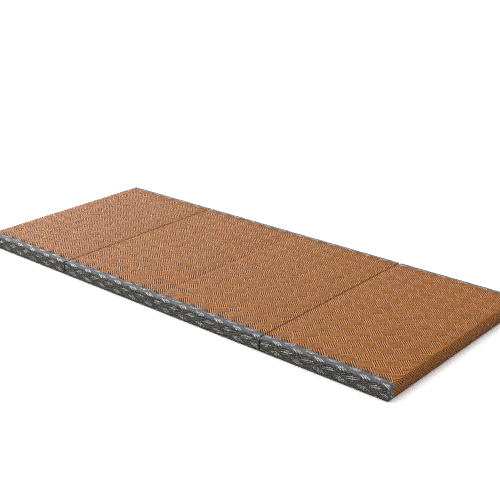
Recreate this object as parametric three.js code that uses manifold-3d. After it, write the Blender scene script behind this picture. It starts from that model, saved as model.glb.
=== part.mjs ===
// Four-section folding tatami mat, lying open and flat.
// Each section is a firm filled pad in a dark backing cloth. Woven cane covers the top and turns
// down over the mat's ends and into the two outer joints. A patterned cloth border is sewn along
// both long edges of the cane and turns down with it, and a gusset of the same cloth closes each
// side wall. The sections fold as a zigzag: the backing cloth carries on under the outer joints,
// and the cane and its borders carry on over the middle one.
// Millimetres, +X along the mat, +Y across it to the far side, +Z up, origin under its middle.
import * as THREE from "three";
import { mergeVertices } from "three/addons/utils/BufferGeometryUtils.js";
import Module from "manifold-3d";

const wasm = await Module();
wasm.setup();

// Driving dimensions
const LENGTH = 1900;
const WIDTH = 800;
const RIM_HEIGHT = 48; // thickness at the edges and joints
const CROWN = 1.6; // how far the middle of a section stands above its rim
const SECTIONS = 4;
const BORDER_WIDTH = 33; // cloth border on the top, beside the cane
const EDGE_RADIUS = 4; // outside turn of every edge
const JOINT_GAP = 1; // between the cane faces that meet in an outer joint
const MIDDLE_GAP = 1.6; // between the two pads that meet under the middle joint

// Layers, each measured inwards from the outermost face of the mat
const CANE_OUTSIDE = 0.4; // the border lies this much proud of the cane
const COVER_INSIDE = 2;
const GAP = 0.3; // between pieces that touch
const PAD_OUTSIDE = COVER_INSIDE + GAP;
const TURN_OUTSIDE = 0.5; // backing cloth where it turns up the corners of the middle joint

// Lower edges and seams
const HEM_HEIGHT = 0.6; // covers end this far above the floor
const HINGE_THICKNESS = 2; // backing cloth that joins two pads under an outer joint
const HINGE_MARGIN = 2; // how far the hinge reaches into its pads
const GUSSET_MARGIN = 5; // from a corner or the top rim to the seam of a gusset
const TURN_WIDTH = 6; // backing cloth that shows on each side of the middle joint

// How finely the faces are divided
const CELLS_A_SECTION = 8;
const CELLS_ACROSS = 8;
const CELLS_UP = 1;
const TURN_STEPS = 2; // from the rim of a face to the middle of its rounded edge

const SECTION = LENGTH / SECTIONS;
const BELOW = -20; // blocks start under the floor and are cut off level
const BEYOND = 1000; // reach of the blocks that only cut

const MATERIALS = {
  pad: new THREE.MeshStandardMaterial({ color: 0x353b45, roughness: 0.9, metalness: 0 }),
  cane: new THREE.MeshStandardMaterial({ color: 0xb07a4a, roughness: 0.5, metalness: 0 }),
  cloth: new THREE.MeshStandardMaterial({ color: 0x6b6a67, roughness: 0.9, metalness: 0 }),
};

// Open space at each end of each section, from the left end of the mat to the right one.
const JOINTS = [
  { name: "left end", gap: 0 },
  { name: "left outer joint", gap: JOINT_GAP },
  { name: "middle joint", gap: 0 },
  { name: "right outer joint", gap: JOINT_GAP },
  { name: "right end", gap: 0 },
];
// The stretches that one run of cane and its borders cover, by the sections at their ends.
const RUNS = [
  { name: "left", first: 0, last: 0 },
  { name: "middle", first: 1, last: 2 },
  { name: "right", first: 3, last: 3 },
];
const PADS = [
  { name: "left", first: 0, last: 1, hinge: 1 },
  { name: "right", first: 2, last: 3, hinge: 3 },
];
const SIDES = [
  { name: "near", sign: -1 },
  { name: "far", sign: 1 },
];
const MIDDLE = SECTIONS / 2;

// Place along the mat of a joint, counted from the left end.
const jointAt = (index) => -LENGTH / 2 + index * SECTION;

// Outline of the mat over some sections: its ends along X, half width, rim height and edge turn.
function outline(first, last) {
  return {
    from: jointAt(first) + JOINTS[first].gap / 2,
    to: jointAt(last + 1) - JOINTS[last + 1].gap / 2,
    side: WIDTH / 2,
    top: RIM_HEIGHT,
    radius: EDGE_RADIUS,
  };
}

// The outline drawn in on every side by the same distance.
function drawnIn({ from, to, side, top, radius }, distance) {
  return {
    from: from + distance,
    to: to - distance,
    side: side - distance,
    top: top - distance,
    radius: radius - distance,
  };
}

// Height that the filling adds over the rim: full in the middle of a section, nothing at its edges.
function crownAt(x, y) {
  const along = THREE.MathUtils.euclideanModulo(x + LENGTH / 2, SECTION) / SECTION;
  const across = THREE.MathUtils.clamp(y / (WIDTH / 2), -1, 1);
  return CROWN * (1 - (2 * along - 1) ** 4) * (1 - across ** 4);
}

// Place of a grid line: even cells over the flat of a face, then even angles round its edge.
function gridLine(unit, half, radius, cells) {
  const step = Math.round(((unit + 1) / 2) * (cells + 2 * TURN_STEPS)) - TURN_STEPS;
  const beyond = Math.min(step, 0) + Math.max(step - cells, 0);
  const even = THREE.MathUtils.clamp(step / cells, 0, 1) * 2 - 1;
  return even * (half - radius) + radius * Math.tan((beyond / TURN_STEPS) * (Math.PI / 4));
}

// A solid from a closed three.js geometry.
function solidOf(geometry) {
  const bare = new THREE.BufferGeometry()
    .setAttribute("position", geometry.getAttribute("position"))
    .setIndex(geometry.index);
  const merged = mergeVertices(bare, 1e-3);
  return new wasm.Manifold(
    new wasm.Mesh({
      numProp: 3,
      vertProperties: merged.attributes.position.array,
      triVerts: new Uint32Array(merged.index.array),
    }),
  );
}

// A block with rounded edges and a crowned top, which fills an outline from under the floor up.
function paddedBlock({ from, to, side, top, radius }) {
  const low = new THREE.Vector3(from, -side, BELOW);
  const high = new THREE.Vector3(to, side, top);
  const middle = low.clone().add(high).divideScalar(2);
  const half = high.clone().sub(middle);
  const core = half.clone().subScalar(radius);
  const cellsAlong = Math.round((to - from) / SECTION) * CELLS_A_SECTION;
  const turns = 2 * TURN_STEPS;
  const geometry = new THREE.BoxGeometry(
    2, 2, 2, cellsAlong + turns, CELLS_ACROSS + turns, CELLS_UP + turns,
  );
  const position = geometry.attributes.position;
  const point = new THREE.Vector3();
  const nearest = new THREE.Vector3();
  for (let i = 0; i < position.count; i++) {
    point.fromBufferAttribute(position, i);
    point.x = gridLine(point.x, half.x, radius, cellsAlong);
    point.y = gridLine(point.y, half.y, radius, CELLS_ACROSS);
    point.z = gridLine(point.z, half.z, radius, CELLS_UP);
    nearest.copy(point).clamp(core.clone().negate(), core);
    point.sub(nearest).setLength(radius).add(nearest).add(middle);
    point.z += crownAt(point.x, point.y) * (point.z / RIM_HEIGHT);
    position.setXYZ(i, point.x, point.y, point.z);
  }
  return solidOf(geometry);
}

// A plain block between two places on each axis, given in either order.
function plainBlock(xs, ys, zs) {
  const [x, y, z] = [xs, ys, zs].map((ends) => Math.abs(ends[1] - ends[0]));
  const middle = [xs, ys, zs].map((ends) => (ends[0] + ends[1]) / 2);
  return solidOf(new THREE.BoxGeometry(x, y, z).translate(...middle));
}

// All the space above a level.
const above = (level) => plainBlock([-BEYOND, BEYOND], [-BEYOND, BEYOND], [level, BEYOND]);

// A filled section. Its wall under the middle joint has no cover, so it stands at the gap itself.
function section(index) {
  const block = drawnIn(outline(index, index), PAD_OUTSIDE);
  if (index === MIDDLE - 1) block.to = -MIDDLE_GAP / 2;
  if (index === MIDDLE) block.from = MIDDLE_GAP / 2;
  return paddedBlock(block);
}

// Backing cloth turned up the wall of the middle joint, out to the face of the gusset beside it.
function middleTurn(side) {
  const inner = side < 0 ? MIDDLE - 1 : MIDDLE;
  const low = side * (MIDDLE_GAP / 2);
  const strip = plainBlock(
    [low, side * TURN_WIDTH],
    [-BEYOND, BEYOND],
    [-BEYOND, RIM_HEIGHT - GUSSET_MARGIN],
  );
  const block = drawnIn(outline(inner, inner), TURN_OUTSIDE);
  if (side < 0) block.to = low - GAP;
  else block.from = low + GAP;
  return paddedBlock(block).intersect(strip);
}

// Two filled sections, joined by the backing cloth that is the hinge of the outer joint.
function padPair({ first, last, hinge }) {
  const reach = JOINT_GAP / 2 + PAD_OUTSIDE + HINGE_MARGIN;
  const hingeSide = WIDTH / 2 - PAD_OUTSIDE - HINGE_MARGIN;
  const strip = plainBlock(
    [jointAt(hinge) - reach, jointAt(hinge) + reach],
    [-hingeSide, hingeSide],
    [BELOW / 2, HINGE_THICKNESS],
  );
  return section(first)
    .add(section(last))
    .add(strip)
    .add(middleTurn(Math.sign(jointAt(hinge))))
    .intersect(above(0));
}

// The skin over a run, from its outer face to the inside of the covers, open underneath. Its walls
// end above the floor, and higher where they come down on a hinge.
function cover({ first, last }, outside) {
  const run = outline(first, last);
  let skin = paddedBlock(drawnIn(run, outside))
    .subtract(paddedBlock(drawnIn(run, COVER_INSIDE)))
    .intersect(above(HEM_HEIGHT));
  for (const { hinge } of PADS) {
    const reach = JOINT_GAP / 2 + GUSSET_MARGIN;
    const space = plainBlock(
      [jointAt(hinge) - reach, jointAt(hinge) + reach],
      [-BEYOND, BEYOND],
      [-BEYOND, HINGE_THICKNESS + GAP],
    );
    skin = skin.subtract(space);
  }
  return skin;
}

// The space under the border in one section's side wall, from its seam at the corner to a distance
// from the middle joint, widened by a margin.
function wallSpace({ sign }, index, margin, besideMiddle) {
  const start = index === MIDDLE ? besideMiddle : GUSSET_MARGIN + JOINTS[index].gap / 2;
  const end = index === MIDDLE - 1 ? besideMiddle : GUSSET_MARGIN + JOINTS[index + 1].gap / 2;
  return plainBlock(
    [jointAt(index) + start - margin, jointAt(index + 1) - end + margin],
    [sign * (WIDTH / 2 - COVER_INSIDE - GAP), sign * BEYOND],
    [-BEYOND, RIM_HEIGHT - GUSSET_MARGIN + margin],
  );
}

// A named mesh from a solid.
function meshOf(name, solid, material) {
  const { vertProperties, triVerts } = solid.getMesh();
  const geometry = new THREE.BufferGeometry()
    .setAttribute("position", new THREE.BufferAttribute(new Float32Array(vertProperties), 3))
    .setIndex(new THREE.BufferAttribute(triVerts, 1));
  geometry.computeVertexNormals();
  const mesh = new THREE.Mesh(geometry, material);
  mesh.name = name;
  return mesh;
}

const mat = new THREE.Group();

for (const pad of PADS) {
  mat.add(meshOf(`pad_${pad.name}`, padPair(pad), MATERIALS.pad));
}

const seam = WIDTH / 2 - BORDER_WIDTH;
for (const run of RUNS) {
  const lane = plainBlock([-BEYOND, BEYOND], [GAP / 2 - seam, seam - GAP / 2], [BELOW, BEYOND]);
  const cane = cover(run, CANE_OUTSIDE).intersect(lane);
  mat.add(meshOf(`cane_${run.name}`, cane, MATERIALS.cane));

  const cloth = cover(run, 0);
  for (const side of SIDES) {
    const edge = [side.sign * (seam + GAP / 2), side.sign * BEYOND];
    let border = cloth.intersect(plainBlock([-BEYOND, BEYOND], edge, [BELOW, BEYOND]));
    for (let index = run.first; index <= run.last; index++) {
      const gusset = cloth.intersect(wallSpace(side, index, 0, TURN_WIDTH + GAP));
      mat.add(meshOf(`gusset_${side.name}_${index + 1}`, gusset, MATERIALS.cloth));
      border = border.subtract(wallSpace(side, index, GAP, 0));
    }
    mat.add(meshOf(`border_${side.name}_${run.name}`, border, MATERIALS.cloth));
  }
}

export default mat;
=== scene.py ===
"""Looks of a folding tatami mat, lying open and flat.

The mat has four padded sections. Split cane woven in a diagonal basket weave covers the top, cloth
with a figured weave edges and closes the sides, and a dark plain cloth backs it.
Sizes are in millimetres, on the frame's own axes, and become metres as a mesh is made.
"""
from __future__ import annotations

import logging
import math
from collections.abc import Callable
from dataclasses import dataclass
from enum import Enum
from functools import partial
from typing import Any

import bmesh
import bpy
import numpy as np
from mathutils import Matrix, Vector

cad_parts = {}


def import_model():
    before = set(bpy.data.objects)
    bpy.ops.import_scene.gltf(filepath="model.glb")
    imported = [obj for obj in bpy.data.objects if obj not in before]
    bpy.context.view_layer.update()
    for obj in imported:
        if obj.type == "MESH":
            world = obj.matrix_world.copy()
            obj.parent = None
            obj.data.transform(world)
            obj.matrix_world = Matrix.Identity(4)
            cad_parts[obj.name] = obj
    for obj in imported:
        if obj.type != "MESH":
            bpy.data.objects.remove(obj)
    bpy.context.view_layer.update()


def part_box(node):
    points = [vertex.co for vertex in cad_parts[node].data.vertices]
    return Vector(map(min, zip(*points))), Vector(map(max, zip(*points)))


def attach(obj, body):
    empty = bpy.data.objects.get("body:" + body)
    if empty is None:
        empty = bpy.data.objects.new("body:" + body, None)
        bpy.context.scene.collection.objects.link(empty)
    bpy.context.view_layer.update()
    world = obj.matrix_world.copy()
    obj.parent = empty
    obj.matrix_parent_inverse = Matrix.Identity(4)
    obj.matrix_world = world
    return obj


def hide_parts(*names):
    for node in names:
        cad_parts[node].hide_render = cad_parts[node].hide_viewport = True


LOG = logging.getLogger("tatami_mat")
MM = 0.001
QUARTER = math.pi / 2

# Attributes that a piece carries for its finish.
UV_NAME = "UVMap"
TONE_NAME = "tone"
TURN_NAME = "turn"

# Kinds of node that are used again and again.
MATH = "ShaderNodeMath"
VECTOR_MATH = "ShaderNodeVectorMath"
SPLIT = "ShaderNodeSeparateXYZ"
JOIN = "ShaderNodeCombineXYZ"
MIX = "ShaderNodeMix"
RANGE = "ShaderNodeMapRange"
NOISE = "ShaderNodeTexNoise"
WAVE = "ShaderNodeTexWave"
BUMP = "ShaderNodeBump"
STORE = "GeometryNodeStoreNamedAttribute"
RANDOM = "FunctionNodeRandomValue"

# Sockets that several kinds of value share one name for, so they go by number.
NUMBER_A, NUMBER_B = 2, 3
COLOUR_A, COLOUR_B, COLOUR_OUT = 6, 7, 2
RANDOM_LOW, RANDOM_HIGH, RANDOM_OUT = 2, 3, 1

# Radians that the diagonal bands of a wave texture turn by over one unit of length, at a scale of 1.
WAVE_ANGLE = 10.0

# Power that draws the points of a rod's middle line towards its ends, where it bends.
END_CROWDING = 0.25

# Added to the seed for the tone of a rod, so that its tone doesn't follow its lift.
TONE_SEED_STEP = 7.0

# Points of a sheet that lie closer than this many millimetres become one.
MERGE_REACH = 0.01

AddNode = Callable[..., bpy.types.Node]


class Side(Enum):
    """Long edge of the mat: its word in the names of nodes, and its sign along Y."""

    NEAR = ("near", -1)
    FAR = ("far", 1)

    def __init__(self, word: str, sign: int) -> None:
        """Keeps the word and the sign."""
        self.word = word
        self.sign = sign


class Face(Enum):
    """Face of the rounded box that a patch of cloth lies on."""

    TOP = "top"
    WALL = "wall"
    END = "end"


class Run(Enum):
    """Stretch that one run of cane covers: its word, its sections and its pads."""

    LEFT = ("left", (1,), ("pad_left",))
    MIDDLE = ("middle", (2, 3), ("pad_left", "pad_right"))
    RIGHT = ("right", (4,), ("pad_right",))

    def __init__(self, word: str, sections: tuple[int, ...], pads: tuple[str, ...]) -> None:
        """Keeps what the run covers.

        Args:
            word: Word in the names of nodes.
            sections: Numbers of its sections.
            pads: Nodes of its pads.
        """
        self.word = word
        self.sections = sections
        self.pads = pads


@dataclass(frozen=True)
class Bell:
    """Soft change of shape at a seam, fold or stitch: its size, and the width over which it fades."""

    size: float
    width: float

    def at(self, distance: np.ndarray) -> np.ndarray:
        """Size of the change at distances from its middle."""
        return self.size * np.exp(-((distance / self.width) ** 2))


def ramp(value: np.ndarray, low: float, high: float) -> np.ndarray:
    """Smooth step from 0 at low to 1 at high."""
    share = np.clip((value - low) / (high - low), 0.0, 1.0)
    return share * share * (3 - 2 * share)


def linear(code: str) -> tuple[float, float, float, float]:
    """Turns an sRGB colour into the linear one that shaders use.

    Args:
        code: Colour as six hex digits after a hash sign.

    Returns:
        Red, green, blue and an alpha of 1.
    """
    parts = [int(code[i : i + 2], 16) / 255 for i in (1, 3, 5)]
    red, green, blue = [p / 12.92 if p <= 0.04045 else ((p + 0.055) / 1.055) ** 2.4 for p in parts]
    return red, green, blue, 1.0


def wave_scale(pitch: float) -> float:
    """Scale of a wave texture whose diagonal bands repeat over a length along either axis."""
    return 2 * math.pi / (WAVE_ANGLE * pitch)


def feed(node: bpy.types.Node, inputs: Any) -> None:
    """Sets or links the inputs of a node.

    Args:
        node: Node to feed.
        inputs: Values, nodes or sockets, in a list or keyed by an input's name or number.
            None leaves an input alone, and a node stands for its first output.
    """
    pairs = inputs.items() if isinstance(inputs, dict) else enumerate(inputs)
    for key, value in pairs:
        if isinstance(value, bpy.types.Node):
            value = value.outputs[0]
        if isinstance(value, bpy.types.NodeSocket):
            node.id_data.links.new(value, node.inputs[key])
        elif value is not None:
            node.inputs[key].default_value = value


def add_node(tree: bpy.types.NodeTree, kind: str, inputs: Any = (), **settings: Any) -> bpy.types.Node:
    """Adds a node to a tree, with its settings and what feeds it.

    Args:
        tree: Tree that takes the node.
        kind: Name of the type of node, or of an operation of the math node, in capitals.
        inputs: What goes into its inputs, as the function that feeds a node takes it.
        **settings: Properties of the node.

    Returns:
        The new node.
    """
    if kind.isupper():
        kind, settings = MATH, settings | {"operation": kind}
    made = tree.nodes.new(kind)
    for name, value in settings.items():
        setattr(made, name, value)
    feed(made, inputs)
    return made


def new_material(name: str) -> tuple[bpy.types.Material, AddNode, bpy.types.Node]:
    """Starts a material made of nodes.

    Args:
        name: Name of the real material.

    Returns:
        The material, the function that adds a node to it and its shader.
    """
    made = bpy.data.materials.new(name)
    made.use_nodes = True
    tree = made.node_tree
    return made, partial(add_node, tree), tree.nodes["Principled BSDF"]


def link_object(name: str, mesh: bpy.types.Mesh) -> bpy.types.Object:
    """Puts a mesh into the scene as an object at the origin.

    Args:
        name: Name of the piece.
        mesh: Its mesh, in metres.

    Returns:
        The new object.
    """
    made = bpy.data.objects.new(name, mesh)
    bpy.context.scene.collection.objects.link(made)
    return made


def finished(piece: bpy.types.Object) -> bpy.types.Object:
    """Turns a piece's modifiers into its plain mesh, with soft shading.

    Args:
        piece: Piece with modifiers.

    Returns:
        The same piece, without modifiers.
    """
    graph = bpy.context.evaluated_depsgraph_get()
    mesh = bpy.data.meshes.new_from_object(piece.evaluated_get(graph), depsgraph=graph)
    mesh.name = piece.name
    piece.modifiers.clear()
    piece.data = mesh
    mesh.shade_smooth()
    return piece


def coordinates(mesh: bpy.types.Mesh) -> np.ndarray:
    """Reads a mesh's vertices.

    Args:
        mesh: Mesh in metres.

    Returns:
        Its vertices in millimetres, a row each.
    """
    flat = np.empty(len(mesh.vertices) * 3, np.float32)
    mesh.vertices.foreach_get("co", flat)
    return flat.reshape(-1, 3).astype(float) / MM


def place(mesh: bpy.types.Mesh, points: np.ndarray) -> None:
    """Moves a mesh's vertices.

    Args:
        mesh: Mesh to change.
        points: New places in millimetres, a row for each vertex.
    """
    mesh.vertices.foreach_set("co", (points * MM).astype(np.float32).ravel())
    mesh.update()


def arc(x: float, z: float, radius: float, start: float, end: float) -> list[tuple[float, float]]:
    """Points on part of a circle in the plane of an outline.

    Args:
        x: Place of its middle along the mat.
        z: Height of its middle.
        radius: Its radius.
        start: Angle of the first point, in radians from X.
        end: Angle of the last point.

    Returns:
        Four points in order.
    """
    return [(x + radius * math.cos(a), z + radius * math.sin(a)) for a in np.linspace(start, end, 4)]


@dataclass(frozen=True)
class MatShape:
    """Rounded, slightly crowned outer face of the mat, with lengths read from the frame."""

    half_length: float
    half_width: float
    seam: float
    joint: float
    rim: float = 48.0
    rim_reach: float = 1.1
    crown: float = 3.5
    crown_fullness: int = 4
    crown_sharpness: int = 24
    radius: float = 4.0
    hem: float = 2.4
    joint_hem: float = 2.6
    joint_gap: float = 2.2
    cane_depth: float = 0.4
    seam_drift: float = 3.8
    seam_taper: float = 3.5
    taper_length: float = 22.0
    drift_inside: float = 60.0
    drift_outside: float = 4.0
    flare: Bell = Bell(2.2, 14.0)
    flare_length: float = 16.0

    @staticmethod
    def from_frame() -> MatShape:
        """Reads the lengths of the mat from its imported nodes.

        Returns:
            The mat's shape.
        """
        low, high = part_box("border_far_right")
        outer_of_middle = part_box("border_far_middle")[1]
        cane_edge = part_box("cane_right")[1]
        return MatShape(
            half_length=high.x / MM,
            half_width=high.y / MM,
            seam=(low.y + cane_edge.y) / 2 / MM,
            joint=(low.x + outer_of_middle.x) / 2 / MM,
        )

    @property
    def turn(self) -> float:
        """Unrolled length of a rounded edge."""
        return self.radius * QUARTER

    def wall_length(self, height: float) -> float:
        """Unrolled length from the flat's end, round the edge and down to a height over the floor."""
        return self.turn + self.rim - self.radius - height

    def ends(self, run: Run) -> tuple[float, float]:
        """Outermost places of a run along the mat.

        Args:
            run: Run of cane.

        Returns:
            Its left and right ends.
        """
        inner = self.joint + self.joint_gap / 2
        outer = self.joint - self.joint_gap / 2
        if run is Run.LEFT:
            return -self.half_length, -inner
        if run is Run.RIGHT:
            return inner, self.half_length
        return -outer, outer

    def crown_at(self, x: np.ndarray, y: np.ndarray) -> np.ndarray:
        """Height that the filling adds over the rim.

        Args:
            x: Places along the mat.
            y: Places across it.

        Returns:
            Heights, full in the middle of a section and nothing at its edges.
        """
        along = 2 * np.mod(x + self.half_length, self.joint) / self.joint - 1
        across = np.clip(y / self.half_width, -1, 1)
        return self.crown * (1 - along**self.crown_fullness) * (1 - across**self.crown_sharpness)

    def settled(self, points: np.ndarray) -> np.ndarray:
        """Raises points by the crown, and opens the outer joints towards the sides.

        Args:
            points: Points on a mat with a level top and even joints.

        Returns:
            Points on the mat as it lies.
        """
        moved = points.copy()
        share = np.clip(points[:, 2] / self.rim, 0, self.rim_reach)
        moved[:, 2] += self.crown_at(points[:, 0], points[:, 1]) * share
        from_joint = np.abs(points[:, 0]) - self.joint
        beside = ramp(np.abs(points[:, 1]), self.half_width - self.flare_length, self.half_width)
        away = np.sign(points[:, 0]) * np.sign(from_joint)
        moved[:, 0] += away * beside * self.flare.at(from_joint)
        return moved

    def past_end(self, run: Run, s: np.ndarray) -> np.ndarray:
        """How far an unrolled length lies beyond the flat of a run's top.

        Args:
            run: Run of cane.
            s: Lengths along the unrolled face, equal to X on the flat.

        Returns:
            Signed distances, 0 on the flat.
        """
        start, end = self.ends(run)
        left, right = start + self.radius, end - self.radius
        return np.maximum(s - right, 0) + np.minimum(s - left, 0)

    def drifted(self, s: np.ndarray, y: np.ndarray) -> np.ndarray:
        """Moves the seam of the border outwards a little, more where it nears the mat's ends.

        Args:
            s: Lengths along the unrolled face.
            y: Places across it, with the seam straight.

        Returns:
            Places across it, with the seam as sewn.
        """
        reach = np.abs(y)
        near_end = ramp(np.abs(s), self.half_length - self.taper_length, self.half_length)
        shift = self.seam_drift + self.seam_taper * near_end
        inside = ramp(reach, self.seam - self.drift_inside, self.seam)
        outside = 1 - ramp(reach, self.seam + self.drift_outside, self.half_width - self.radius)
        return y + np.sign(y) * shift * inside * outside

    def surface(self, run: Run, s: np.ndarray, y: np.ndarray, depth: np.ndarray) -> np.ndarray:
        """Places on or under the top and end walls of a run.

        Args:
            run: Run of cane.
            s: Lengths along the unrolled face.
            y: Places across it.
            depth: How far inside the outermost face.

        Returns:
            Points in millimetres, a row each.
        """
        beyond = self.past_end(run, s)
        angle = np.clip(np.abs(beyond) / self.radius, 0, QUARTER)
        drop = np.maximum(np.abs(beyond) - self.turn, 0)
        out = self.radius - depth
        x = s - beyond + np.sign(beyond) * out * np.sin(angle)
        z = self.rim - self.radius + out * np.cos(angle) - drop
        return self.settled(np.stack([x, self.drifted(s, y), z], axis=1))


def build_laid_pieces_tree() -> bpy.types.NodeTree:
    """Makes the tree that lays one small bent rod on each point of a field.

    It serves the cane strips, half-round and long, and the stitches, thin and short. A rod's ends dip,
    and each copy has its own tone, lift and turn, from a fixed seed.

    Returns:
        The geometry node tree.
    """
    tree = bpy.data.node_groups.new("laid_pieces", "GeometryNodeTree")
    face = tree.interface
    face.new_socket("Geometry", in_out="INPUT", socket_type="NodeSocketGeometry")
    sizes = ("Length", "Width", "Thickness", "Dip", "Dip Sharpness", "Lift Spread", "Turn Spread")
    counts = ("Steps", "Section Points", "Seed")
    kinds = {"Float": (*sizes, "Section Sweep"), "Int": counts, "Material": ("Material",)}
    for kind, names in kinds.items():
        for name in names:
            face.new_socket(name, in_out="INPUT", socket_type=f"NodeSocket{kind}")
    face.new_socket("Geometry", in_out="OUTPUT", socket_type="NodeSocketGeometry")
    given = tree.nodes.new("NodeGroupInput").outputs
    add = partial(add_node, tree)

    # Middle line of the rod: points gather towards the ends, which dip.
    line = add("GeometryNodeCurvePrimitiveLine", {"Start": (-1, 0, 0), "End": (1, 0, 0)})
    line = add("GeometryNodeResampleCurve", {"Curve": line, "Count": given["Steps"]})
    spot = add(SPLIT, [add("GeometryNodeInputPosition")])
    share = add("ABSOLUTE", [spot])
    share = add("POWER", [share, END_CROWDING])
    side = add("SIGN", [spot])
    half = add("MULTIPLY", [given["Length"], 0.5])
    along = add("MULTIPLY", [share, side])
    along = add("MULTIPLY", [along, half])
    dip = add("POWER", [share, given["Dip Sharpness"]])
    dip = add("MULTIPLY", [dip, given["Dip"]])
    dip = add("SUBTRACT", [0.0, dip])
    bent = add(JOIN, [along, None, dip])
    line = add("GeometryNodeSetPosition", {"Geometry": line, "Position": bent})
    line = add("GeometryNodeSetCurveNormal", {"Curve": line}, mode="Z_UP")

    # Section of the rod: part of a circle, flattened, with its highest point on the line.
    circle = {"Resolution": given["Section Points"], "Radius": 1.0, "Sweep Angle": given["Section Sweep"]}
    section = add("GeometryNodeCurveArc", circle, mode="RADIUS")
    section = add("GeometryNodeSetSplineCyclic", {"Geometry": section, "Cyclic": True})
    half_width = add("MULTIPLY", [given["Width"], 0.5])
    stretch = add(JOIN, [half_width, given["Thickness"], 1.0])
    sink = add("SUBTRACT", [0.0, given["Thickness"]])
    sink = add(JOIN, [None, sink])
    flattened = {"Geometry": section, "Translation": sink, "Scale": stretch}
    section = add("GeometryNodeTransform", flattened)
    swept = {"Curve": line, "Profile Curve": section, "Fill Caps": True}
    rod = add("GeometryNodeCurveToMesh", swept)
    spot = add("GeometryNodeInputPosition")
    unrolled = {"Geometry": rod, "Name": UV_NAME, "Value": spot}
    rod = add(STORE, unrolled, data_type="FLOAT2", domain="CORNER")

    # A copy on every point, each a little different.
    turn = add("GeometryNodeInputNamedAttribute", {"Name": TURN_NAME}, data_type="FLOAT")
    spread = {RANDOM_LOW: -1.0, RANDOM_HIGH: 1.0, "Seed": given["Seed"]}
    jitter = add(RANDOM, spread, data_type="FLOAT").outputs[RANDOM_OUT]
    twist = add("MULTIPLY", [jitter, given["Turn Spread"]])
    turn = add("ADD", [turn, twist])
    turn = add(JOIN, [None, None, turn])
    laid = {"Points": given["Geometry"], "Instance": rod, "Rotation": turn}
    copies = add("GeometryNodeInstanceOnPoints", laid)
    other_seed = add("ADD", [given["Seed"], TONE_SEED_STEP])
    spread = {RANDOM_LOW: 0.0, RANDOM_HIGH: 1.0, "Seed": other_seed}
    tone = add(RANDOM, spread, data_type="FLOAT").outputs[RANDOM_OUT]
    toned = {"Geometry": copies, "Name": TONE_NAME, "Value": tone}
    copies = add(STORE, toned, data_type="FLOAT", domain="INSTANCE")
    lift = add("MULTIPLY", [jitter, given["Lift Spread"]])
    lift = add(JOIN, [None, None, lift])
    copies = add("GeometryNodeTranslateInstances", {"Instances": copies, "Translation": lift})
    whole = add("GeometryNodeRealizeInstances", {"Geometry": copies})
    whole = add("GeometryNodeSetMaterial", {"Geometry": whole, "Material": given["Material"]})
    add("NodeGroupOutput", [whole])
    return tree


@dataclass(frozen=True)
class RodSizes:
    """Sizes of one small rod and how much its copies vary, in millimetres and degrees."""

    length: float
    width: float
    thickness: float
    dip: float
    sharpness: float
    steps: int
    section_points: int
    sweep: float = 180.0
    lift_spread: float = 0.0
    turn_spread: float = 0.0

    def inputs(self, material: bpy.types.Material, seed: int) -> dict[str, Any]:
        """Values of the tree's named inputs for this rod.

        Args:
            material: Finish of the rod.
            seed: Fixed seed of its variation.

        Returns:
            Values by the names of the inputs.
        """
        return {
            "Length": self.length * MM,
            "Width": self.width * MM,
            "Thickness": self.thickness * MM,
            "Dip": self.dip * MM,
            "Dip Sharpness": self.sharpness,
            "Steps": self.steps,
            "Section Points": self.section_points,
            "Section Sweep": math.radians(self.sweep),
            "Lift Spread": self.lift_spread * MM,
            "Turn Spread": math.radians(self.turn_spread),
            "Seed": seed,
            "Material": material,
        }


@dataclass
class RodLayer:
    """Lays rods on a flat field of points by the shared node tree."""

    tree: bpy.types.NodeTree
    seed: int = 11

    def lay(
        self,
        name: str,
        points: np.ndarray,
        turns: np.ndarray,
        rod: RodSizes,
        material: bpy.types.Material,
    ) -> bpy.types.Object:
        """Makes one mesh with a rod on each point.

        Args:
            name: Name of the piece.
            points: Middle of each rod, in millimetres on the unrolled face.
            turns: Direction of each rod, in radians from the length of the mat.
            rod: Sizes of the rod.
            material: Finish of the rods.

        Returns:
            The piece, as a plain mesh.
        """
        mesh = bpy.data.meshes.new(name)
        mesh.from_pydata((points * MM).tolist(), [], [])
        turn = mesh.attributes.new(TURN_NAME, "FLOAT", "POINT")
        turn.data.foreach_set("value", turns.astype(np.float32))
        piece = link_object(name, mesh)
        modifier = piece.modifiers.new("laid_pieces", "NODES")
        modifier.node_group = self.tree
        values = rod.inputs(material, self.seed)
        for item in self.tree.interface.items_tree:
            if item.in_out == "INPUT" and item.name in values:
                modifier[item.identifier] = values[item.name]
        return finished(piece)


def trim(mesh: bpy.types.Mesh, low: Vector, high: Vector, folds: list[float]) -> None:
    """Cuts a flat field of rods to a rectangle, closes the cut ends, and adds lines to bend it at.

    Args:
        mesh: Mesh of closed rods on the unrolled face, in metres.
        low: Least length and width kept, in millimetres.
        high: Greatest length and width kept.
        folds: Lengths at which the rods get an extra edge.
    """
    work = bmesh.new()
    work.from_mesh(mesh)
    cuts = [(axis, limit[axis], sign) for axis in (0, 1) for limit, sign in ((low, -1), (high, 1))]
    cuts += [(0, fold, 0) for fold in folds]
    for axis, limit, sign in cuts:
        normal, point = Vector((0, 0, 0)), Vector((0, 0, 0))
        normal[axis] = sign or 1
        point[axis] = limit * MM
        cut = bmesh.ops.bisect_plane(
            work,
            geom=work.verts[:] + work.edges[:] + work.faces[:],
            plane_co=point,
            plane_no=normal,
            clear_outer=sign != 0,
        )
        if sign:
            rims = [e for e in cut["geom_cut"] if isinstance(e, bmesh.types.BMEdge) and e.is_boundary]
            bmesh.ops.edgeloop_fill(work, edges=rims)
    work.to_mesh(mesh)
    work.free()


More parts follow.
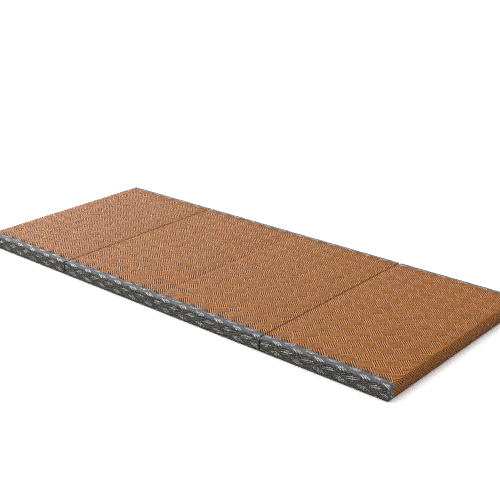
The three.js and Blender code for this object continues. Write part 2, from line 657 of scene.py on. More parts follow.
@dataclass(frozen=True)
class CaneFinish:
    """Split cane, peeled, dyed brown and woven."""

    dark: str = "#99561a"
    middle: str = "#ad6b21"
    light: str = "#be7d32"
    # Painted shade of the grooves between the strips, laid on the strips' edges.
    edge: str = "#4c2207"
    strip_width: float = 5.6
    # Shares of the strip's width where the painted shade at its edges begins and is full.
    painted_shade_from: float = 0.13
    painted_shade_to: float = 0.35
    fibre_width: float = 0.35
    fibre_length: float = 14.0
    fibre_shift: float = 90.0
    fibre_contrast: float = 0.45
    fibre_offset: float = -0.22
    tone_contrast: float = 0.4
    base_shade: float = 0.3
    roughness: float = 0.6
    roughness_spread: float = 0.24
    specular: float = 0.36
    edge_specular: float = 0.06
    bump_strength: float = 0.15
    bump_height: float = 0.15

    def material(self) -> bpy.types.Material:
        """Makes the material. The tone attribute sets a strip's own shade and the UV map runs along it.

        Returns:
            The material.
        """
        # The peeled skin gives each strip a satin sheen, fine fibres along it and a shade of its own.
        made, add, shader = new_material("split_cane")
        tone = add("ShaderNodeAttribute", attribute_name=TONE_NAME).outputs["Fac"]
        spot = add("ShaderNodeUVMap", uv_map=UV_NAME)
        parts = add(SPLIT, [spot])

        # Fibres: noise drawn out along the strip, moved on by the tone so that no two strips match.
        shift = add("MULTIPLY", [tone, self.fibre_shift])
        length, width = self.fibre_length * MM, self.fibre_width * MM
        along = add("MULTIPLY", [parts.outputs[0], 1 / length])
        along = add("ADD", [along, shift])
        across = add("MULTIPLY", [parts.outputs[1], 1 / width])
        place_at = add(JOIN, [along, across, shift])
        fibres = add(NOISE, {"Vector": place_at, "Scale": 1.0, "Detail": 3.0})
        shade = add("MULTIPLY_ADD", [fibres, self.fibre_contrast, self.fibre_offset])
        shade = add("MULTIPLY_ADD", [tone, self.tone_contrast, shade])
        shade = add("ADD", [shade, self.base_shade])
        ramped = add("ShaderNodeValToRGB", [shade])
        stops = ramped.color_ramp.elements
        stops[0].position, stops[0].color = 0.0, linear(self.dark)
        stops[1].position, stops[1].color = 1.0, linear(self.light)
        stops.new(0.5).color = linear(self.middle)

        # Painted shade: strips darken at their edges, in place of the grooves' shade, and turn dull there.
        from_middle = add("ABSOLUTE", [parts.outputs[1]])
        low, high = (self.strip_width * share * MM for share in (self.painted_shade_from, self.painted_shade_to))
        dimmed = {"Value": from_middle, "From Min": low, "From Max": high}
        dimmed = add(RANGE, dimmed, interpolation_type="SMOOTHSTEP")
        mixed = {"Factor": dimmed, COLOUR_A: ramped, COLOUR_B: linear(self.edge)}
        mixed = add(MIX, mixed, data_type="RGBA")
        shine = {"Value": dimmed, "To Min": self.specular, "To Max": self.edge_specular}
        shine = add(RANGE, shine)
        least = self.roughness - self.roughness_spread / 2
        gloss = add("MULTIPLY_ADD", [fibres, self.roughness_spread, least])
        relief = {"Height": fibres, "Strength": self.bump_strength, "Distance": self.bump_height * MM}
        bump = add(BUMP, relief)
        dressed = {"Base Color": mixed.outputs[COLOUR_OUT], "Roughness": gloss, "Normal": bump}
        feed(shader, dressed | {"Specular IOR Level": shine})
        return made


@dataclass(frozen=True)
class UnderweaveFinish:
    """Cane strips that pass underneath the others."""

    groove: str = "#2a1206"
    strip: str = "#4c240c"
    line_pitch: float = 2.6055756
    roughness: float = 0.8
    specular: float = 0.05
    bump_strength: float = 0.4
    bump_height: float = 0.3

    def material(self) -> bpy.types.Material:
        """Makes the material, on the UV map of the unrolled face.

        Returns:
            The material.
        """
        # The same cane, but in shade: it shows as dark, dull lines between the strips on top.
        made, add, shader = new_material("cane_underside_strips")
        spot = add("ShaderNodeUVMap", uv_map=UV_NAME)
        bands = {"Vector": spot, "Scale": wave_scale(self.line_pitch), "Distortion": 1.0}
        waves = add(WAVE, bands, bands_direction="DIAGONAL").outputs["Fac"]
        mixed = {"Factor": waves, COLOUR_A: linear(self.groove), COLOUR_B: linear(self.strip)}
        mixed = add(MIX, mixed, data_type="RGBA")
        relief = {"Height": waves, "Strength": self.bump_strength, "Distance": self.bump_height * MM}
        bump = add(BUMP, relief)
        dressed = {"Base Color": mixed.outputs[COLOUR_OUT], "Roughness": self.roughness, "Normal": bump}
        feed(shader, dressed | {"Specular IOR Level": self.specular})
        return made


@dataclass(frozen=True)
class FiguredClothFinish:
    """Figured polyester cloth: a dark speckled ground, with groups of pale floats that slant to and fro."""

    name: str
    ground: str
    ground_light: str
    thread: str
    figure_length: float = 80.75
    figure_width: float = 41.0
    phase_a: float = 0.0
    phase_b: float = 0.0
    floats: int = 3
    float_pitch: float = 5.6
    float_share: float = 0.38
    float_softness: float = 0.2
    float_length: float = 27.0
    end_softness: float = 1.0
    stagger: float = 3.0
    binding_pitch: float = 9.0
    binding_dip: float = 0.15
    plain_share: float = 0.14
    wander: float = 3.0
    wander_scale: float = 0.06
    yarn: float = 2.6
    yarn_from: float = 0.42
    yarn_to: float = 0.66
    slub: float = 4.5
    slub_from: float = 0.38
    slub_to: float = 0.56
    slub_least: float = 0.12
    ground_roughness: float = 0.85
    thread_roughness: float = 0.4
    sheen: float = 0.1
    sheen_roughness: float = 0.5
    specular: float = 0.3
    bump_strength: float = 0.7
    bump_height: float = 0.5
    bump_grain: float = 0.6

    def figure(self, add: AddNode, spot: bpy.types.Node) -> bpy.types.Node:
        """Draws the groups of floats.

        Args:
            add: Function that adds a node to the material.
            spot: Node with millimetres along the edge and down from the seam.

        Returns:
            Node with 1 on a float and 0 on the ground.
        """
        parts = add(SPLIT, [spot])
        u, v = (
            add("DIVIDE", [parts.outputs[axis], size])
            for axis, size in enumerate((self.figure_length, self.figure_width))
        )

        # Slanted cells: each has its number and a place inside it, along both of its directions.
        cells, places = [], []
        for operation, phase in (("ADD", self.phase_a), ("SUBTRACT", self.phase_b)):
            slanted = add(operation, [u, v])
            slanted = add("SUBTRACT", [slanted, phase])
            cells.append(add("FLOOR", [slanted]))
            places.append(add("SUBTRACT", [slanted, cells[-1]]))
        odd = add("ADD", cells)
        odd = add("FLOORED_MODULO", [odd, 2.0])

        # In an even cell the floats run along the first direction, in an odd one along the second.
        first, second = places
        along = {"Factor": odd, NUMBER_A: first, NUMBER_B: second}
        along = add(MIX, along, data_type="FLOAT")
        across = {"Factor": odd, NUMBER_A: second, NUMBER_B: first}
        across = add(MIX, across, data_type="FLOAT")

        # Rows of floats across the cell, and the middle rows picked as the group.
        height = 1 / math.hypot(1 / self.figure_length, 1 / self.figure_width)
        across = add("SUBTRACT", [across, 0.5])
        across = add("MULTIPLY", [across, height / self.float_pitch])
        row = add("ROUND", [across])
        in_row = add("SUBTRACT", [across, row])
        in_row = add("ABSOLUTE", [in_row])
        half = self.float_share / 2
        low, high = half * (1 - self.float_softness), half * (1 + self.float_softness)
        lit = {"Value": in_row, "From Min": low, "From Max": high, "To Min": 1.0, "To Max": 0.0}
        lit = add(RANGE, lit)
        in_group = add("ABSOLUTE", [row])
        in_group = add("LESS_THAN", [in_group, self.floats / 2])

        # Each float has its length and stagger, and dips where a binding yarn crosses it.
        side = math.hypot(self.figure_length, self.figure_width) / 2
        along = add("SUBTRACT", [along, 0.5])
        along = add("MULTIPLY", [along, side])
        along = add("MULTIPLY_ADD", [row, -self.stagger, along])
        reach = add("ABSOLUTE", [along])
        low, high = self.float_length / 2 - self.end_softness, self.float_length / 2 + self.end_softness
        ends = {"Value": reach, "From Min": low, "From Max": high, "To Min": 1.0, "To Max": 0.0}
        ends = add(RANGE, ends)
        waves = add("MULTIPLY", [along, 2 * math.pi / self.binding_pitch])
        waves = add("SINE", [waves])
        dipped = [waves, self.binding_dip, 1 - self.binding_dip]
        waves = add("MULTIPLY_ADD", dipped)
        raised = add("MULTIPLY", [in_group, ends])
        raised = add(RANGE, {"Value": raised, "To Min": self.plain_share, "To Max": 1.0})
        lit = add("MULTIPLY", [lit, raised])
        return add("MULTIPLY", [lit, waves])

    def material(self) -> bpy.types.Material:
        """Makes the material. The UV map holds millimetres along the edge and down from the seam.

        Returns:
            The material.
        """
        # Thick filament floats catch the light as pale strokes, and the spun ground stays dark and
        # speckled. The yarns are drawn about four times as coarse as real ones, so that they show.
        made, add, shader = new_material(self.name)
        spot = add("ShaderNodeUVMap", uv_map=UV_NAME)
        drift = add(NOISE, {"Vector": spot, "Scale": self.wander_scale, "Detail": 2.0})
        drift = [drift.outputs["Color"], (0.5, 0.5, 0.5)]
        drift = add(VECTOR_MATH, drift, operation="SUBTRACT")
        drift = add(VECTOR_MATH, [drift, (self.wander, self.wander, 0)], operation="MULTIPLY")
        spot = add(VECTOR_MATH, [spot, drift], operation="ADD")
        figure = self.figure(add, spot)
        grain = add(NOISE, {"Vector": spot, "Scale": 1 / self.yarn, "Detail": 2.0})
        slubs = add(NOISE, {"Vector": spot, "Scale": 1 / self.slub, "Detail": 1.0})
        dimmed = {"Value": slubs, "From Min": self.slub_from, "From Max": self.slub_to}
        dimmed = add(RANGE, dimmed | {"To Min": self.slub_least, "To Max": 1.0})
        lit = add("MULTIPLY", [figure, dimmed])
        speckle = {"Value": grain, "From Min": self.yarn_from, "From Max": self.yarn_to}
        speckle = add(RANGE, speckle)
        ground = {"Factor": speckle, COLOUR_A: linear(self.ground), COLOUR_B: linear(self.ground_light)}
        ground = add(MIX, ground, data_type="RGBA").outputs[COLOUR_OUT]
        mixed = {"Factor": lit, COLOUR_A: ground, COLOUR_B: linear(self.thread)}
        mixed = add(MIX, mixed, data_type="RGBA")
        gloss = {"Value": lit, "To Min": self.ground_roughness, "To Max": self.thread_roughness}
        gloss = add(RANGE, gloss)
        height = add("MULTIPLY_ADD", [grain, self.bump_grain, lit])
        relief = {"Height": height, "Strength": self.bump_strength, "Distance": self.bump_height * MM}
        bump = add(BUMP, relief)
        dressed = {"Base Color": mixed.outputs[COLOUR_OUT], "Roughness": gloss, "Normal": bump}
        even = {
            "Sheen Weight": self.sheen,
            "Sheen Roughness": self.sheen_roughness,
            "Specular IOR Level": self.specular,
        }
        feed(shader, dressed | even)
        return made


@dataclass(frozen=True)
class PlainClothFinish:
    """Plain-woven polyester backing."""

    warp: str = "#1c1f24"
    weft: str = "#2b3037"
    yarn: float = 1.1
    yarn_contrast: float = 0.6
    least_shade: float = -0.2
    noise_scale: float = 90.0
    roughness: float = 0.9
    sheen: float = 0.2
    bump_strength: float = 0.4
    bump_height: float = 0.25

    def material(self) -> bpy.types.Material:
        """Makes the material, on object coordinates.

        Returns:
            The material.
        """
        # Fine crossing yarns without a finish look matt, dark and a little uneven.
        made, add, shader = new_material("backing_plain_weave")
        spot = add("ShaderNodeTexCoord").outputs["Object"]
        squares = {"Vector": spot, "Scale": 1 / (self.yarn * MM)}
        weave = add("ShaderNodeTexChecker", squares).outputs["Fac"]
        noise = add(NOISE, {"Vector": spot, "Scale": self.noise_scale, "Detail": 4.0})
        shade = add("MULTIPLY_ADD", [weave, self.yarn_contrast, noise])
        shade = add("ADD", [shade, self.least_shade], use_clamp=True)
        mixed = {"Factor": shade, COLOUR_A: linear(self.warp), COLOUR_B: linear(self.weft)}
        mixed = add(MIX, mixed, data_type="RGBA")
        relief = {"Height": weave, "Strength": self.bump_strength, "Distance": self.bump_height * MM}
        bump = add(BUMP, relief)
        dressed = {"Base Color": mixed.outputs[COLOUR_OUT], "Roughness": self.roughness, "Normal": bump}
        feed(shader, dressed | {"Sheen Weight": self.sheen})
        return made


@dataclass(frozen=True)
class ThreadFinish:
    """Spun polyester sewing thread."""

    light: str = "#8d8f92"
    dark: str = "#55575a"
    ply_pitch: float = 3.0159289
    roughness: float = 0.6

    def material(self) -> bpy.types.Material:
        """Makes the material, on the stitch's own UV map.

        Returns:
            The material.
        """
        # Two plies wound round each other show as slanting bands with a slight gloss. The bands are
        # drawn about four times as coarse as real ones, so that they show.
        made, add, shader = new_material("sewing_thread")
        spot = add("ShaderNodeUVMap", uv_map=UV_NAME)
        bands = {"Vector": spot, "Scale": wave_scale(self.ply_pitch * MM)}
        plies = add(WAVE, bands, bands_direction="DIAGONAL").outputs["Fac"]
        mixed = {"Factor": plies, COLOUR_A: linear(self.dark), COLOUR_B: linear(self.light)}
        mixed = add(MIX, mixed, data_type="RGBA")
        feed(shader, {"Base Color": mixed.outputs[COLOUR_OUT], "Roughness": self.roughness})
        return made


def grid_quads(rows: int, columns: int) -> np.ndarray:
    """Faces of a grid of points.

    Args:
        rows: Number of points in the first direction.
        columns: Number of points in the second, which runs fastest.

    Returns:
        Numbers of the four points of each face, a row each.
    """
    index = np.arange(rows * columns).reshape(rows, columns)
    corners = [index[:-1, :-1], index[1:, :-1], index[1:, 1:], index[:-1, 1:]]
    return np.stack(corners, axis=-1).reshape(-1, 4)


def sheet_from_faces(
    name: str,
    points: np.ndarray,
    corner_uvs: np.ndarray,
    quads: np.ndarray,
    material: bpy.types.Material,
    thickness: float,
) -> bpy.types.Object:
    """Makes a sheet of cloth from faces that may share an edge only in place.

    Args:
        name: Name of the piece.
        points: Places on its outer face in millimetres, a row each.
        corner_uvs: Pattern coordinates, a row for each face corner.
        quads: Numbers of the points of each face.
        material: Finish of the sheet.
        thickness: Thickness that goes inwards.

    Returns:
        The sheet, closed.
    """
    mesh = bpy.data.meshes.new(name)
    mesh.from_pydata((points * MM).tolist(), [], quads.tolist())
    layer = mesh.uv_layers.new(name=UV_NAME)
    layer.uv.foreach_set("vector", corner_uvs.astype(np.float32).ravel())
    work = bmesh.new()
    work.from_mesh(mesh)
    bmesh.ops.remove_doubles(work, verts=work.verts[:], dist=MERGE_REACH * MM)
    work.to_mesh(mesh)
    work.free()
    mesh.materials.append(material)
    piece = link_object(name, mesh)
    wall = piece.modifiers.new("thickness", "SOLIDIFY")
    wall.thickness = thickness * MM
    wall.offset = -1.0
    wall.use_even_offset = True
    return finished(piece)


@dataclass
class WovenCane:
    """One run of woven cane: a dark sheet of underlying strips, and the strips that float over it."""

    run: Run
    shape: MatShape
    layer: RodLayer
    strip_finish: bpy.types.Material
    under_finish: bpy.types.Material
    phase_a: float
    phase_b: float
    pitch_along: float = 59.8
    pitch_across: float = 53.0
    strips: int = 6
    spare_cells: int = 3
    fold_steps: int = 4
    under_depth: float = 1.0
    under_thickness: float = 0.5
    under_step: float = 20.0
    under_inset: float = 2.0
    under_lines: int = 41
    joint_reach: float = 6.0
    hem_tuck: Bell = Bell(0.7, 2.5)
    end_crease: Bell = Bell(0.9, 1.3)
    middle_crease: Bell = Bell(1.6, 2.2)
    rod: RodSizes = RodSizes(
        length=43.2,
        width=5.6,
        thickness=1.15,
        dip=0.8,
        sharpness=12.0,
        steps=6,
        section_points=5,
        lift_spread=0.06,
        turn_spread=0.25,
    )

    def limits(self, joint_reach: float | None) -> tuple[float, float]:
        """Ends of the run along the unrolled face.

        Args:
            joint_reach: How far the weave goes on down a joint's wall, or None for all the way.

        Returns:
            Least and greatest length.
        """
        shape = self.shape
        reaches = []
        for place_at in shape.ends(self.run):
            if abs(place_at) > shape.joint + shape.joint_gap:
                reach = shape.wall_length(shape.hem)
            elif joint_reach is None:
                reach = shape.wall_length(shape.joint_hem)
            else:
                reach = shape.turn + joint_reach
            reaches.append(reach - shape.radius)
        start, end = shape.ends(self.run)
        return start - reaches[0], end + reaches[1]

    def depth(self, s: np.ndarray) -> np.ndarray:
        """Extra depth of the weave, at its hems, its turns and its crease over the middle joint.

        Args:
            s: Lengths along the unrolled face.

        Returns:
            Depths under the cane's plain face.
        """
        low, high = self.limits(None)
        extra = self.hem_tuck.at(np.minimum(np.abs(s - low), np.abs(high - s)))
        to_end = np.abs(s) - (self.shape.half_length - self.shape.radius)
        extra = extra + self.end_crease.at(to_end)
        if self.run is Run.MIDDLE:
            extra = extra + self.middle_crease.at(s)
        return extra

    def lattice(self, low: float, high: float) -> tuple[np.ndarray, np.ndarray]:
        """Middles and directions of all floating strips. Blocks of strips alternate like a basket.

        Args:
            low: Least length along the unrolled face.
            high: Greatest length.

        Returns:
            Points, a row each, and turns in radians.
        """
        margin = self.rod.length / 2
        width = self.shape.seam
        span = max(abs(low), abs(high)) / self.pitch_along + width / self.pitch_across
        reach = math.ceil(span + self.spare_cells)
        cells = np.arange(-reach, reach + 1)
        row, column, strip = np.meshgrid(cells, cells, np.arange(self.strips), indexing="ij")
        falling = (row + column) % 2 == 0
        part = (strip + 0.5) / self.strips
        a = row + np.where(falling, part, 0.5) + self.phase_a
        b = column + np.where(falling, 0.5, part) + self.phase_b
        s = self.pitch_along * (a + b) / 2
        y = self.pitch_across * (a - b) / 2
        slant = math.atan2(self.pitch_across, self.pitch_along)
        turns = np.where(falling, -slant, slant)
        kept = (s > low - margin) & (s < high + margin) & (np.abs(y) < width + margin)
        points = np.stack([s[kept], y[kept], np.zeros(kept.sum())], axis=1)
        return points, turns[kept]

    def build_strips(self) -> bpy.types.Object:
        """Makes the floating strips and bends them over the mat's edges.

        Returns:
            The strips as one piece.
        """
        shape = self.shape
        low, high = self.limits(self.joint_reach)
        points, turns = self.lattice(low, high)
        name = f"cane_strips_{self.run.word}"
        piece = self.layer.lay(name, points, turns, self.rod, self.strip_finish)
        start, end = shape.ends(self.run)
        left, right = start + shape.radius, end - shape.radius
        steps = [float(step) for step in np.linspace(0, shape.turn, self.fold_steps)]
        folds = [left - step for step in steps] + [right + step for step in steps]
        folds += [left + self.end_crease.width, right - self.end_crease.width]
        if self.run is Run.MIDDLE:
            folds += [-self.middle_crease.width, 0.0, self.middle_crease.width]
        trim(piece.data, Vector((low, -shape.seam, 0)), Vector((high, shape.seam, 0)), folds)
        flat = coordinates(piece.data)
        depth = shape.cane_depth - flat[:, 2] + self.depth(flat[:, 0])
        place(piece.data, shape.surface(self.run, flat[:, 0], flat[:, 1], depth))
        piece.data.shade_smooth()
        return piece

    def build_under(self) -> bpy.types.Object:
        """Makes the sheet of strips that pass underneath.

        Returns:
            The sheet, closed, with a thickness.
        """
        shape = self.shape
        low, high = self.limits(None)
        start, end = shape.ends(self.run)
        left, right = start + shape.radius, end - shape.radius
        on_flat = round((right - left) / self.under_step) // 2 * 2 + 1
        stretches = [
            np.linspace(low, left - shape.turn, 6)[:-1],
            np.linspace(left - shape.turn, left, 5),
            np.linspace(left + self.under_inset, right - self.under_inset, on_flat),
            np.linspace(right, right + shape.turn, 5),
            np.linspace(right + shape.turn, high, 6)[1:],
        ]
        s_lines = np.concatenate(stretches)
        if self.run is Run.MIDDLE:
            s_lines = np.union1d(s_lines, self.middle_crease.width * np.array([-2, -1, 1, 2]))
        y_lines = np.linspace(-shape.seam, shape.seam, self.under_lines)
        s, y = (grid.ravel() for grid in np.meshgrid(s_lines, y_lines, indexing="ij"))
        depth = shape.cane_depth + self.under_depth + self.depth(s)
        quads = grid_quads(len(s_lines), len(y_lines))
        return sheet_from_faces(
            f"woven_cane_{self.run.word}",
            shape.surface(self.run, s, y, depth),
            np.stack([s, y], axis=1)[quads].reshape(-1, 2),
            quads,
            self.under_finish,
            self.under_thickness,
        )

    def build(self) -> None:
        """Makes the run and tells the frame what it is."""
        under = self.build_under()
        strips = self.build_strips()
        low, high = self.limits(None)
        for piece in (under, strips):
            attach(piece, "root")
        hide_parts(f"cane_{self.run.word}")
        LOG.info("%s: %d faces of strips", under.name, len(strips.data.polygons))


@dataclass(frozen=True)
class Patch:
    """Grid on one face of the rounded box: flat places, nearest core, directions out and faces."""

    box: np.ndarray
    core: np.ndarray
    out: np.ndarray
    uv: np.ndarray
    quads: np.ndarray


@dataclass
class ClothBorder:
    """Border sewn on along one long edge of a run: its strip, the rim of the wall and the corners."""

    run: Run
    side: Side
    shape: MatShape
    layer: RodLayer
    finish: bpy.types.Material
    thread: bpy.types.Material
    thickness: float = 1.2
    rim_margin: float = 5.0
    step: float = 2.75
    turns: int = 4
    insets: tuple[float, ...] = (0, 0.35, 0.8, 1.4, 2.2, 3.2, 4.2, 5.4, 8, 12, 17, 22, 26)
    lifts: tuple[float, ...] = (0, 0.6, 1.4, 2.6, 5.4, 11, 18, 25, 31, 37)
    rim_step: float = 0.4
    seam_fold: Bell = Bell(1.3, 0.8)
    stitch_tuck: Bell = Bell(0.4, 1.0)
    tuck_spread: float = 0.4
    puff: Bell = Bell(-0.25, 8.0)
    puff_inset: float = 14.0
    foot_tuck: Bell = Bell(0.9, 1.6)
    rim_tuck: Bell = Bell(1.4, 1.2)
    joint_reach: float = 4.5
    stitch_inset: float = 3.2
    stitch_pitch: float = 5.5
    stitch_above: float = 10.0
    stitch_past: float = 4.0
    stitch_lift: float = 0.1
    stitch: RodSizes = RodSizes(
        length=4.4,
        width=0.75,
        thickness=0.45,
        dip=0.55,
        sharpness=4.0,
        steps=5,
        section_points=6,
        sweep=300.0,
    )

    @property
    def name(self) -> str:
        """Side and run in the names of this border's nodes."""
        return f"{self.side.word}_{self.run.word}"

    def lines(self, low: float, high: float, inner: np.ndarray, turned_low: bool = False) -> np.ndarray:
        """Grid lines along one axis of the box, with those that go half-way round its edges.

        Args:
            low: Outer face at the low end.
            high: Outer face at the high end, whose edge is turned.
            inner: Lines on the flat.
            turned_low: Whether the edge at the low end is turned too.

        Returns:
            The lines in order.
        """
        radius = self.shape.radius
        out = radius * np.tan(np.linspace(0, math.pi / 4, self.turns + 1)[1:])
        before = (low + radius - out)[::-1] if turned_low else []
        return np.concatenate([before, inner, high - radius + out])

    def patch(self, face: Face, xs: np.ndarray, ys: np.ndarray, zs: np.ndarray) -> Patch:
        """Grid of one face of the box, as the far side would have it.

        Args:
            face: Face of the box.
            xs: Grid lines along the mat, or its one end place.
            ys: Grid lines across it, or its one side place.
            zs: Grid lines up it, or its one top place.

        Returns:
            The grid.
        """
        start, end = self.shape.ends(self.run)
        radius = self.shape.radius
        box = np.stack(np.meshgrid(xs, ys, zs, indexing="ij"), axis=-1)
        rows, columns = (count for count in box.shape[:3] if count > 1)
        flat = box.reshape(-1, 3)
        low = np.array([start + radius, -np.inf, -np.inf])
        high = np.array([end - radius, self.shape.half_width - radius, self.shape.rim - radius])
        core = np.clip(flat, low, high)
        out = flat - core
        out /= np.linalg.norm(out, axis=1, keepdims=True)
        sides = np.sign(out[:, 0])
        down = self.shape.rim - radius - core[:, 2]
        if face is Face.END:
            u = core[:, 0] + sides * (radius * np.arctan2(np.abs(out[:, 0]), out[:, 2]) + down)
            v = core[:, 1] + radius * np.arctan2(out[:, 1], np.abs(out[:, 0]))
        elif face is Face.TOP:
            u = core[:, 0] + sides * radius * np.arctan2(np.abs(out[:, 0]), out[:, 2])
            v = core[:, 1] + radius * np.arctan2(out[:, 1], out[:, 2])
        else:
            u = core[:, 0] + radius * np.arctan2(out[:, 0], out[:, 1])
            v = core[:, 1] + radius * np.clip(np.arctan2(out[:, 1], out[:, 2]), 0, QUARTER) + down
        uv = np.stack([u, v - self.shape.seam], axis=1)
        return Patch(flat, core, out, uv, grid_quads(rows, columns))

    def from_corner(self, x: np.ndarray) -> np.ndarray:
        """Distances of places along the mat from the nearer end of the run."""
        start, end = self.shape.ends(self.run)
        return np.minimum(x - start, end - x)

    def sewn_depth(self, face: Face, box: np.ndarray, u: np.ndarray) -> np.ndarray:
        """How far the cloth sinks in at its seams, folds and stitches.

        Args:
            face: Face of the box.
            box: Points on the flat box.
            u: Unrolled lengths of the points.

        Returns:
            Depths under the outermost face.
        """
        foot = self.foot_tuck.at(box[:, 2] - self.shape.hem)
        if face is Face.WALL:
            past_rim = np.maximum(box[:, 2] - self.shape.rim + self.rim_margin, 0)
            past_return = np.maximum(self.rim_margin - self.from_corner(box[:, 0]), 0)
            return self.rim_tuck.at(np.maximum(past_rim, past_return)) + foot
        from_seam = box[:, 1] - self.shape.seam
        spread = self.tuck_spread
        waves = (1 - spread) + spread * np.cos(2 * math.pi * u / self.stitch_pitch)
        sewn = self.stitch_tuck.at(from_seam - self.stitch_inset) * waves
        depth = self.seam_fold.at(from_seam) + sewn + self.puff.at(from_seam - self.puff_inset)
        return depth + foot if face is Face.END else depth

    def kept(self, face: Face, centres: np.ndarray) -> np.ndarray:
        """Picks the faces of the box that the border covers.

        Args:
            face: Face of the box.
            centres: Middles of the grid faces.

        Returns:
            Whether each one is kept.
        """
        if face is not Face.WALL:
            return np.ones(len(centres), bool)
        in_rim = centres[:, 2] > self.shape.rim - self.rim_margin
        return in_rim | (self.from_corner(centres[:, 0]) < self.rim_margin)

    def grid_lines(self) -> tuple[np.ndarray, np.ndarray, np.ndarray]:
        """Grid lines of the border's box, close together at its seams and edges.

        Returns:
            Lines along the mat, across it and up it.
        """
        shape = self.shape
        start, end = shape.ends(self.run)
        left, right = start + shape.radius, end - shape.radius
        along = np.linspace(left, right, round((right - left) / self.step) + 1)
        margins = [start + self.rim_margin, end - self.rim_margin]
        along = np.unique(np.concatenate([along[[0]], margins, along[2:-2], along[[-1]]]))
        width = shape.half_width - shape.radius - shape.seam
        rim_seam = shape.rim - self.rim_margin
        upper = [rim_seam, rim_seam + self.rim_step, shape.rim - shape.radius]
        return (
            self.lines(start, end, along, turned_low=True),
            self.lines(0, shape.half_width, shape.seam + np.array([*self.insets, width])),
            self.lines(0, shape.rim, np.concatenate([shape.hem + np.array(self.lifts), upper])),
        )

    def build_cloth(self) -> bpy.types.Object:
        """Makes the border's cloth.

        Returns:
            The cloth, closed, with a thickness.
        """
        shape = self.shape
        start, end = shape.ends(self.run)
        xs, ys, zs = self.grid_lines()
        patches = [
            (Face.TOP, xs, ys, np.array([shape.rim])),
            (Face.WALL, xs, np.array([shape.half_width]), zs),
            (Face.END, np.array([start]), ys, zs),
            (Face.END, np.array([end]), ys, zs),
        ]
        points, uvs, quads, count = [], [], [], 0
        for face, x_lines, y_lines, z_lines in patches:
            grid = self.patch(face, x_lines, y_lines, z_lines)
            depth = self.sewn_depth(face, grid.box, grid.uv[:, 0])
            placed = grid.core + grid.out * (shape.radius - depth)[:, None]
            placed[:, 1] = shape.drifted(grid.uv[:, 0], placed[:, 1])
            placed = shape.settled(placed)
            from_joint = np.abs(np.abs(placed[:, 0]) - shape.joint)
            in_joint = from_joint < shape.joint_gap + self.joint_reach
            placed[:, 2] = np.maximum(placed[:, 2], np.where(in_joint, shape.joint_hem, shape.hem))
            faces = grid.quads[self.kept(face, grid.box[grid.quads].mean(axis=1))]
            turned_round = face is Face.WALL or (face is Face.END and x_lines[0] == start)
            if turned_round != (self.side is Side.NEAR):
                faces = faces[:, ::-1]
            points.append(placed)
            uvs.append(grid.uv[faces].reshape(-1, 2))
            quads.append(faces + count)
            count += len(placed)
        placed = np.concatenate(points)
        placed[:, 1] *= self.side.sign
        return sheet_from_faces(
            f"cloth_border_{self.name}",
            placed,
            np.concatenate(uvs),
            np.concatenate(quads),
            self.finish,
            self.thickness,
        )

    def build_stitches(self) -> bpy.types.Object:
        """Makes the row of stitches that holds the border on the cane.

        Returns:
            The stitches as one piece.
        """
        shape = self.shape
        start, end = shape.ends(self.run)
        reach = shape.wall_length(self.stitch_above) - shape.radius
        first = math.ceil((start - reach) / self.stitch_pitch)
        last = math.floor((end + reach) / self.stitch_pitch)
        s = (np.arange(first, last) + 0.5) * self.stitch_pitch
        inside = np.abs(shape.past_end(self.run, s)) < shape.turn + self.stitch_past
        at_mat_end = np.abs(s) > shape.half_length - shape.radius
        s = s[inside | at_mat_end]
        y = np.full_like(s, self.side.sign * (shape.seam + self.stitch_inset))
        points = np.stack([s, y, np.zeros_like(s)], axis=1)
        name = f"border_stitches_{self.name}"
        piece = self.layer.lay(name, points, np.zeros_like(s), self.stitch, self.thread)
        flat = coordinates(piece.data)
        depth = -self.stitch_lift - flat[:, 2]
        place(piece.data, shape.surface(self.run, flat[:, 0], flat[:, 1], depth))
        return piece

    def build(self) -> None:
        """Makes the border and tells the frame what it is."""
        cloth = self.build_cloth()
        stitches = self.build_stitches()
        for piece in (cloth, stitches):
            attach(piece, "root")
        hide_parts(f"border_{self.name}")
        start, end = self.shape.ends(self.run)
        wall = self.shape.wall_length(self.shape.hem) - self.shape.radius
        LOG.info("%s: %d vertices", cloth.name, len(cloth.data.vertices))


